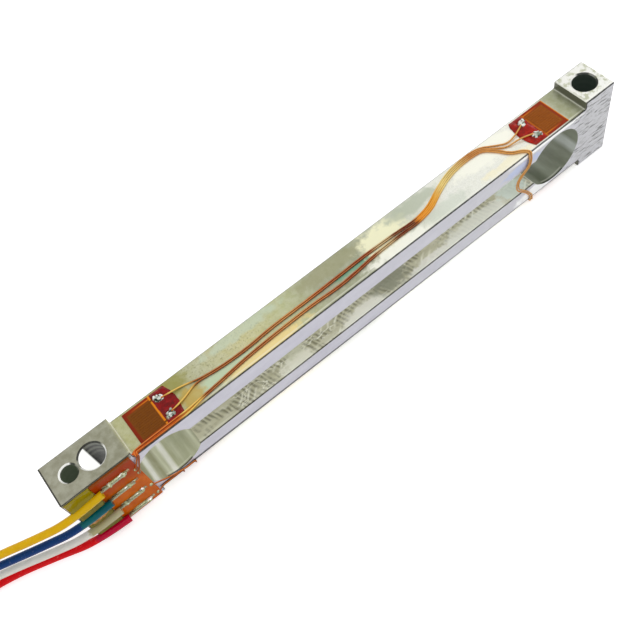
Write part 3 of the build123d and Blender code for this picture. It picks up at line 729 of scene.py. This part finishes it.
def gauge_foil(settings):
    """Brown etched grid and tarnished solder tabs."""
    shade = surface("Gauge Foil")
    tab = shade.span(gauge_place(shade), 2.55, 2.75)
    haze = shade.grain(2.0, 0.2)
    grid = shade.over(settings.foil_colour, (132, 74, 8), haze)
    load_grid = shade.over(screen(170, 92, 10), (146, 76, 8), haze)
    grid = shade.mix(shade.above(shade.x, 0.0), grid, load_grid)
    tabs = shade.over(settings.tab_colour, (46, 50, 34), shade.grain(1.6, 0.06))
    return shade.finish(shade.mix(tab, grid, tabs), (haze, 0.35, 0.5), (haze, 0.3, 0.00003), gloss=0.15,
                        Metallic=shade.level(tab, 0.0, 0.4))


def sealing_lacquer(settings):
    """Glossy lacquer: deep crimson at the wired end, bright red at the loaded end."""
    shade = surface("Sealing Lacquer")
    flow = shade.noise(shade.place, 0.8, 3.0, 0.4)
    thin = shade.grain(0.9, 0.14)
    colour = shade.over(settings.lacquer_colour, (104, 2, 2), thin)
    # painted highlights: brighter red specks on the gloss
    colour = shade.over(colour, (184, 16, 30), shade.grain(1.4, 0.05, 0.6), 0.4)
    bright = shade.over(screen(190, 28, 4), (132, 14, 4), thin)
    colour = shade.mix(shade.above(shade.x, 0.0), colour, bright)
    return shade.finish(colour, (thin, 0.16, 0.3), (flow, 0.45, 0.00012), gloss=0.15, coat=(0.1, 0.04))


def board_film(settings):
    """Film board: vivid orange-brown, dark red at its upper end, under a thin wash, with painted shade along
    its top under the bar's edge.
    """
    shade = surface("Terminal Board Film")
    wash = shade.grain((0.7, 0.7, 0.5), 0.2)
    colour = shade.over(settings.film_colour, (192, 84, 0), wash)
    colour = shade.mix(shade.span(shade.z, 9.5, 13.6), colour, settings.dark_colour)
    # painted shade: olive-brown band at the board's top, under the bar's top edge
    colour = shade.over(colour, (120, 80, 30), shade.span(shade.z, 15.9, 16.5), 0.5)
    colour = shade.over(colour, (226, 140, 40), shade.wave((1.0, 1.0, 1.0), 1.6, 0.5, bands="Z"), 0.1)
    return shade.finish(colour, (wash, 0.28, 0.42), (wash, 0.4, 0.00008), gloss=0.06, coat=(0.03, 0.06))


def tinned_strip(settings):
    """Terminal strip, stained by the board's varnish, with a few bright streaks."""
    shade = surface("Tinned Strip")
    streaks = shade.grain((0.8, 4.0, 5.0), 0.1, 0.58)
    colour = shade.mix(streaks, screen(150, 92, 36), settings.strip_colour)
    return shade.finish(colour, (streaks, 0.26, 0.4), (streaks, 0.4, 0.00003), gloss=0.3, Metallic=0.3)


def tinned_strands(settings):
    """Twisted tinned strands of a bared conductor."""
    shade = surface("Tinned Strands")
    twist = shade.wave((1.0, 1.6, 2.2), 1.5, 0.3)
    colour = shade.over(settings.strip_colour, (112, 110, 96), twist)
    return shade.finish(colour, (twist, 0.2, 0.4), (twist, 0.8, 0.00008), Metallic=0.8)


def lead_skin(name, plain, darker, coated):
    """Extruded insulation, stained where the coating at the bar's end covers it."""
    shade = surface(f"{name.capitalize()} Insulation")
    streaks = shade.grain((0.3, 1.2, 1.2), 0.22)
    uneven = shade.span(shade.noise(shade.place, 1.1, 2.0), 0.3, 0.7, -0.4, 0.4)
    covered = shade.span(shade.math("ADD", shade.x, uneven), -60.7, -60.2)
    colour = shade.over(plain, darker, streaks, 0.4)
    colour = shade.over(colour, (220, 220, 214), shade.grain(3.0, 0.06, 0.66), 0.12)
    colour = shade.mix(covered, colour, shade.over(screen(*coated), darker, streaks, 0.4))
    return shade.finish(colour, (covered, 0.42, 0.2), (streaks, 0.15, 0.00005), gloss=0.16)


def exit_coating(settings):
    """Glossy film: opaque olive-yellow over the upper lead, olive between the leads."""
    shade = surface("Exit Coating")
    patch = shade.grain((0.6, 0.6, 0.9), 0.18)
    colour = shade.over(settings.film_colour, (134, 122, 46), patch)
    colour = shade.over(colour, (160, 142, 0), shade.span(shade.z, 13.0, 15.2))
    flow = shade.noise(shade.place, 0.7, 3.0)
    return shade.finish(colour, (patch, 0.1, 0.22), (flow, 0.25, 0.0001), gloss=0.15, coat=(0.12, 0.03),
                        Alpha=0.9)


def amber_adhesive(settings):
    """Amber adhesive, darker in noisy patches."""
    shade = surface("Amber Adhesive")
    flow = shade.noise(shade.place, 1.2, 3.0)
    colour = shade.over(settings.adhesive_colour, (150, 84, 10), flow)
    return shade.finish(colour, (flow, 0.1, 0.22), (flow, 0.4, 0.0001), gloss=0.3, coat=(0.3, 0.04))


def seen_rays(shade):
    """1 for rays that the camera or a glossy or clear surface sends out."""
    rays = shade.add("LightPath").outputs
    return shade.most(rays["Is Camera Ray"], rays["Is Glossy Ray"], rays["Is Transmission Ray"])


def table_top(settings):
    """White table that shows as white to the camera and keeps a soft shadow."""
    shade = surface("White Table")
    colour = shade.over(settings.table_colour, (238, 238, 240), shade.noise(shade.place, 0.02, 2.0), 0.1)
    return shade.finish(colour, Roughness=0.7, Emission_Color=(1, 1, 1, 1),
                        Emission_Strength=shade.times(seen_rays(shade), 0.52))


def dress(obj, material):
    """Gives an object one material."""
    obj.data.materials.clear()
    obj.data.materials.append(material)


def dress_node(name, material):
    dress(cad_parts[name], material)


def put(name, data):
    """New object in the scene."""
    made = bpy.data.objects.new(name, data)
    bpy.context.scene.collection.objects.link(made)
    return made


def new_piece(name, data, material, replaced=()):
    """Visible piece with its material, on the object's one body."""
    piece = put(name, data)
    dress(piece, material)
    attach(piece, ROOT)
    if replaced:
        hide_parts(*replaced)
    return piece


def grid_faces(bm, rows, closed=False):
    """Joins rows of vertices into a skin; closed rows wrap round."""
    for above, below in zip(rows, rows[1:]):
        count = len(above)
        for n in range(count if closed else count - 1):
            follow = (n + 1) % count
            bm.faces.new((above[n], above[follow], below[follow], below[n]))


def mound(bm, origin, along, up, half_length, half_width, height, seed, lumps=0.16):
    """Lumpy solder mound: rings from its foot to its crown, closed at the crown."""
    across = up.cross(along)
    rings, steps = 9, 28
    rows = []
    for ring in range(rings):
        share = ring / rings
        level = math.sin(share * math.pi / 2)
        reach = math.cos(share * math.pi / 2)
        row = []
        for step in range(steps):
            turn = 2 * math.pi * step / steps
            ripple = 1 + lumps * noise.noise(Vector((1.3 * math.cos(turn), 1.3 * math.sin(turn), seed)))
            point = along * (math.cos(turn) * half_length * reach * ripple)
            point += across * (math.sin(turn) * half_width * reach * ripple)
            swell = 1 + 1.6 * lumps * noise.noise(point * 1.7 + Vector((seed, 0, 0)))
            row.append(bm.verts.new(origin + point + up * (height * level * swell)))
        rows.append(row)
    grid_faces(bm, rows, closed=True)
    crown = bm.verts.new(origin + up * height)
    last = rows[-1]
    for step in range(steps):
        bm.faces.new((last[step], last[(step + 1) % steps], crown))


def finished_mesh(name, bm):
    """Smooth mesh, in metres, of a form that is built in millimetres."""
    bmesh.ops.recalc_face_normals(bm, faces=bm.faces)
    mesh = bpy.data.meshes.new(name)
    bm.to_mesh(mesh)
    bm.free()
    for vertex in mesh.vertices:
        vertex.co *= MM
    for face in mesh.polygons:
        face.use_smooth = True
    return mesh


ALONG, OUT = Vector((1, 0, 0)), Vector((0, -1, 0))
GAUGES = [("fixed", "top"), ("fixed", "bottom"), ("load", "top"), ("load", "bottom")]


def gauge_axes(end, face):
    """Origin on the recess, direction toward the bar's middle and outward direction of a gauge."""
    x, inward = (FIXED_GAUGE_X, 1) if end == "fixed" else (LOAD_GAUGE_X, -1)
    z, up = (RECESS_TOP, 1) if face == "top" else (RECESS_DEPTH, -1)
    return Vector((x, MID_Y, z)), Vector((inward, 0, 0)), Vector((0, 0, up))


def lacquer_mesh(end, face, peak):
    """Flowed lacquer over the terminal end, dipping round the two tabs."""
    origin, inward, up = gauge_axes(end, face)
    seed = GAUGES.index((end, face)) * 3.7
    tab_u, tab_v, tab_reach = 3.7, 1.85, 0.72
    half_width = 3.42
    columns, lines = 54, 30
    bm = bmesh.new()
    rows = []
    for line in range(lines + 1):
        share = line / lines
        row = []
        for column in range(columns + 1):
            side = -1 + 2 * column / columns
            v = half_width * side
            start = 2.5 + 0.22 * noise.noise(Vector((v * 0.7, seed, 1.0)))
            tip = 6.05 - 0.7 * side * side + 0.16 * noise.noise(Vector((v * 0.9, seed, 5.0)))
            u = start + (tip - start) * share
            edge = min(1.0, 5.0 * min(share, 1 - share)) * min(1.0, 6.0 * (1 - abs(side)))
            edge = math.sin(edge * math.pi / 2)
            rise = peak * edge * (0.8 + 0.45 * noise.noise(Vector((u * 0.8, v * 0.8, seed))))
            hollow = max(abs(u - tab_u), abs(abs(v) - tab_v)) - tab_reach
            rise = min(rise, 0.2 + 1.1 * hollow) if hollow < 0.3 else rise
            rise = max(rise, -0.04)
            row.append(bm.verts.new(origin + inward * u + Vector((0, v, 0)) + up * (0.1 + rise)))
        rows.append(row)
    grid_faces(bm, rows)
    return finished_mesh(f"lacquer_{end}_{face}", bm)


def ribbon_mesh(points, half_width, height, seed):
    """Low rounded strip of varnish along a plan line on the recess."""
    bm = bmesh.new()
    rows = []
    count = 16 * (len(points) - 1)
    for step in range(count + 1):
        place = step / count * (len(points) - 1)
        index = min(int(place), len(points) - 2)
        share = place - index
        line = [points[max(0, min(len(points) - 1, index + k))] for k in (-1, 0, 1, 2)]
        here = []
        for axis in range(2):
            a, b, c, d = (p[axis] for p in line)
            here.append(0.5 * (2 * b + (c - a) * share + (2 * a - 5 * b + 4 * c - d) * share**2
                               + (3 * b - a - 3 * c + d) * share**3))
        rows.append(here)
    skin = []
    for n, here in enumerate(rows):
        before, after = rows[max(n - 1, 0)], rows[min(n + 1, count)]
        way = Vector((after[0] - before[0], after[1] - before[1])).normalized()
        taper = min(1.0, 0.25 + 6 * min(n, count - n) / count)
        wide = half_width * taper * (1 + 0.2 * noise.noise(Vector((here[0] * 0.6, seed, 0))))
        row = []
        for k in range(9):
            side = -1 + k / 4
            rise = height * math.sqrt(max(0.0, 1 - side * side)) - 0.03
            row.append(bm.verts.new((here[0] - way.y * wide * side, here[1] + way.x * wide * side + MID_Y,
                                     RECESS_TOP + rise)))
        skin.append(row)
    grid_faces(bm, skin)
    return finished_mesh("varnish", bm)


def coating_mesh():
    """Film over the exits, drawn up against each lead by surface tension."""
    left, right, low, high = -59.8, -55.1, 0.3, 16.7
    columns, lines = 36, 140
    bm = bmesh.new()
    rows = []
    for column in range(columns + 1):
        x = left + 0.08 + 4.55 * column / columns
        row = []
        for line in range(lines + 1):
            z = low + 0.05 + 16.3 * line / lines
            rise = 0.24 + 0.1 * noise.noise(Vector((x * 0.6, z * 0.5, 2.0)))
            for colour, strip in STRIP_HEIGHTS.items():
                share = (LEAD_START - x) / 6.5
                away = abs(z - (strip + (EXIT_HEIGHTS[colour] - strip) * share))
                rise = max(rise, 0.8 * math.exp(-((away / 0.95) ** 3)))
            fade = min(1.0, 3 * min(x - left, right - x), 2.5 * min(z - low, high - z))
            row.append(bm.verts.new((x, FRONT - rise * max(fade, 0.0) ** 0.5 + 0.02, z)))
        rows.append(row)
    grid_faces(bm, rows)
    return finished_mesh("coating", bm)


class LOADCELL_OT_stage(bpy.types.Operator):
    """Table, world, lamps and camera"""

    bl_idname = "load_cell.stage"
    bl_label = "Build Stage"

    def execute(self, context):
        settings = context.scene.load_cell_stage
        scene = context.scene
        scene.view_settings.view_transform = "Standard"
        bm = bmesh.new()
        corners = ((-3000, -3000), (3000, -3000), (3000, 3000), (-3000, 3000))
        bm.faces.new([bm.verts.new((x, y, -0.02)) for x, y in corners])
        table = put("table", finished_mesh("table", bm))
        dress(table, table_top(settings))

        world = bpy.data.worlds.new("White Room")
        scene.world = world
        world.use_nodes = True
        shade = Shading(world.node_tree)
        sky = next(n for n in world.node_tree.nodes if n.type == "BACKGROUND")
        shade.join(sky, {"Color": (1, 1, 1, 1), "Strength": shade.level(seen_rays(shade), 0.62, 1.0)})

        for name, place, size, power in (
            ("key_lamp", (0.05, -0.1, 0.45), 0.35, settings.key_power),
            ("side_lamp", (0.35, 0.12, 0.2), 0.2, settings.side_power),
        ):
            lamp = bpy.data.lights.new(name, "AREA")
            lamp.size = size
            lamp.energy = power
            holder = put(name, lamp)
            holder.location = place
            holder.rotation_euler = (-Vector(place)).to_track_quat("-Z", "Y").to_euler()

        lens = bpy.data.cameras.new("camera")
        lens.sensor_width = 36.0
        lens.lens = settings.camera_lens
        lens.clip_start = 0.005
        lens.clip_end = 20.0
        camera = put("camera", lens)
        camera.location = settings.camera_place
        camera.rotation_euler = Euler(settings.camera_turn, "XYZ")
        scene.camera = camera
        return {"FINISHED"}


class LOADCELL_OT_leads(bpy.types.Operator):
    """Four insulated leads, their bared and tinned ends"""

    bl_idname = "load_cell.leads"
    bl_label = "Build Leads"

    def execute(self, context):
        settings = context.scene.load_cell_leads
        strands = tinned_strands(context.scene.load_cell_board)
        darker = dict(yellow=(196, 146, 0), blue=(0, 30, 84), white=(204, 198, 184), red=(186, 2, 14))
        coated = dict(yellow=(230, 188, 8), blue=(0, 106, 110), white=(180, 174, 124), red=(200, 0, 60))
        for colour, free in LEAD_ROUTES.items():
            strip = STRIP_HEIGHTS[colour]
            points = [(LEAD_START, LEAD_Y, strip), (-60.6, LEAD_Y, EXIT_HEIGHTS[colour])]
            for out, side, *height in free:
                points.append((-HALF_LENGTH - out, MID_Y + side, *(height or [CORD_FLOOR])))
            curve = bpy.data.curves.new(f"{colour}_lead", "CURVE")
            curve.dimensions = "3D"
            curve.bevel_depth = settings.diameter / 2
            curve.bevel_resolution = 5
            curve.resolution_u = 16
            curve.use_fill_caps = True
            spline = curve.splines.new("NURBS")
            spline.points.add(len(points) - 1)
            for point, place in zip(spline.points, points):
                point.co = (*(value * MM for value in place), 1.0)
            spline.order_u = 3
            spline.use_endpoint_u = True
            skin = lead_skin(colour, getattr(settings, colour), darker[colour], coated[colour])
            piece = new_piece(f"{colour}_lead", curve, skin, [f"lead_{colour}"])
            dress_node(f"lead_tail_{colour}", strands)
            dress_node(f"lead_core_{colour}", strands)
        return {"FINISHED"}


class LOADCELL_OT_body(bpy.types.Operator):
    """Finish of the milled spring body"""

    bl_idname = "load_cell.body"
    bl_label = "Finish Spring Body"

    def execute(self, context):
        dress_node("spring_body", milled_aluminium(context.scene.load_cell_body))
        return {"FINISHED"}


class LOADCELL_OT_gauges(bpy.types.Operator):
    """Film, foil, lacquer and solder of the four strain gauges"""

    bl_idname = "load_cell.gauges"
    bl_label = "Build Gauges"

    def execute(self, context):
        settings = context.scene.load_cell_gauges
        film, foil = carrier_film(settings), gauge_foil(settings)
        lacquer, solder = sealing_lacquer(settings), bright_solder(settings)
        for end, face in GAUGES:
            dress_node(f"gauge_carrier_{end}_{face}", film)
            dress_node(f"gauge_foil_{end}_{face}", foil)
            mesh = lacquer_mesh(end, face, settings.lacquer_height / MM)
            new_piece(f"lacquer_{end}_{face}", mesh, lacquer, [f"gauge_lacquer_{end}_{face}"])
            origin, inward, up = gauge_axes(end, face)
            bm = bmesh.new()
            for side in (1, -1):
                seed = GAUGES.index((end, face)) * 2.3 + side
                outward = Vector((0, side, 0))
                foot = origin + inward * 3.6 + outward * 1.8 + up * 0.15
                peak = settings.solder_height / MM
                mound(bm, foot + inward * 0.25, inward, up, 0.74, 0.72, peak, seed, 0.6)
                foot += outward * 0.3 - inward * 0.45
                mound(bm, foot, inward, up, 0.46, 0.56, 0.8 * peak, seed + 5.0, 0.6)
            mesh = finished_mesh(f"tab_solder_{end}_{face}", bm)
            new_piece(f"tab_solder_{end}_{face}", mesh, solder, [f"gauge_solder_{end}_{face}"])
        return {"FINISHED"}


class LOADCELL_OT_board(bpy.types.Operator):
    """Terminal board, strips and solder joints"""

    bl_idname = "load_cell.board"
    bl_label = "Build Terminal Board"

    def execute(self, context):
        settings = context.scene.load_cell_board
        solder = bpy.data.materials["Bright Solder"]
        dress_node("terminal_board", board_film(settings))
        strip = tinned_strip(settings)
        for n, (colour, height) in enumerate(STRIP_HEIGHTS.items()):
            dress_node(f"terminal_strip_{colour}", strip)
            bm = bmesh.new()
            foot = Vector((-51.3, STRIP_FACE + 0.02, height))
            mound(bm, foot, ALONG, OUT, 2.1, 0.34, 0.44, n * 1.9, 0.2)
            for place, reach, wide in JOINT_LUMPS[colour]:
                mound(bm, foot + ALONG * place, ALONG, OUT, reach, wide, 0.56, n + 7.0 + place, 0.4)
            mesh = finished_mesh(f"{colour}_joint", bm)
            new_piece(f"{colour}_joint", mesh, solder, [f"lead_joint_{colour}"])
        dress_node("board_wire_solder", solder)
        return {"FINISHED"}


class LOADCELL_OT_wires(bpy.types.Operator):
    """Enamelled wires and the varnish that holds them together"""

    bl_idname = "load_cell.wires"
    bl_label = "Build Wires"

    def execute(self, context):
        enamel = copper_enamel(context.scene.load_cell_wires)
        for n in range(1, 7):
            dress_node(f"bridge_wire_{n}", enamel)
        varnish = wire_varnish()
        for name, start, half_width, height, seed, line in (
            ("bunch_varnish", LOAD_GAUGE_X, 0.6, 0.32, 1.0,
             ((-32.0, -1.1), (-28.0, -0.5), (-24.4, 1.3), (-21.6, 2.4))),
            ("edge_varnish", FIXED_GAUGE_X, 0.42, 0.3, 2.0,
             ((-4.9, -3.55), (-3.6, -3.4), (0.0, -3.3), (4.4, -3.35), (7.4, -3.2))),
        ):
            points = [(start + x, y) for x, y in line]
            new_piece(name, ribbon_mesh(points, half_width, height, seed), varnish)
        return {"FINISHED"}


class LOADCELL_OT_coating(bpy.types.Operator):
    """Film over the lead exits and the tongue of adhesive"""

    bl_idname = "load_cell.coating"
    bl_label = "Build Coating"

    def execute(self, context):
        settings = context.scene.load_cell_leads
        new_piece("exit_coating", coating_mesh(), exit_coating(settings), ["lead_coating"])
        bm = bmesh.new()
        mound(bm, Vector((-57.7, FRONT - 0.28, 7.75)), ALONG, OUT, 2.0, 0.9, 0.6, 4.0, 0.3)
        mesh = finished_mesh("adhesive", bm)
        new_piece("adhesive_tongue", mesh, amber_adhesive(settings), ["adhesive_drop"])
        return {"FINISHED"}


class LOADCELL_PT_panel(bpy.types.Panel):
    """Lists the steps that dress the load cell"""

    bl_idname = "LOADCELL_PT_panel"
    bl_label = "Load Cell"
    bl_space_type = "VIEW_3D"
    bl_region_type = "UI"
    bl_category = "Load Cell"

    def draw(self, context):
        for step in STEPS:
            self.layout.operator(step.bl_idname)


STEPS = (
    LOADCELL_OT_stage, LOADCELL_OT_leads, LOADCELL_OT_body, LOADCELL_OT_gauges,
    LOADCELL_OT_board, LOADCELL_OT_wires, LOADCELL_OT_coating,
)
SETTINGS = {
    "load_cell_stage": StageSettings, "load_cell_body": BodySettings, "load_cell_gauges": GaugeSettings,
    "load_cell_board": BoardSettings, "load_cell_leads": LeadSettings, "load_cell_wires": WireSettings,
}


def register():
    for kind in (*SETTINGS.values(), *STEPS, LOADCELL_PT_panel):
        bpy.utils.register_class(kind)
    for name, kind in SETTINGS.items():
        setattr(bpy.types.Scene, name, PointerProperty(type=kind))


def unregister():
    for name in SETTINGS:
        delattr(bpy.types.Scene, name)
    for kind in reversed((*SETTINGS.values(), *STEPS, LOADCELL_PT_panel)):
        bpy.utils.unregister_class(kind)


def main():
    register()
    for step in ("stage", "leads", "body", "gauges", "board", "wires", "coating"):
        getattr(bpy.ops.load_cell, step)()


if __name__ == "__main__":
    main()
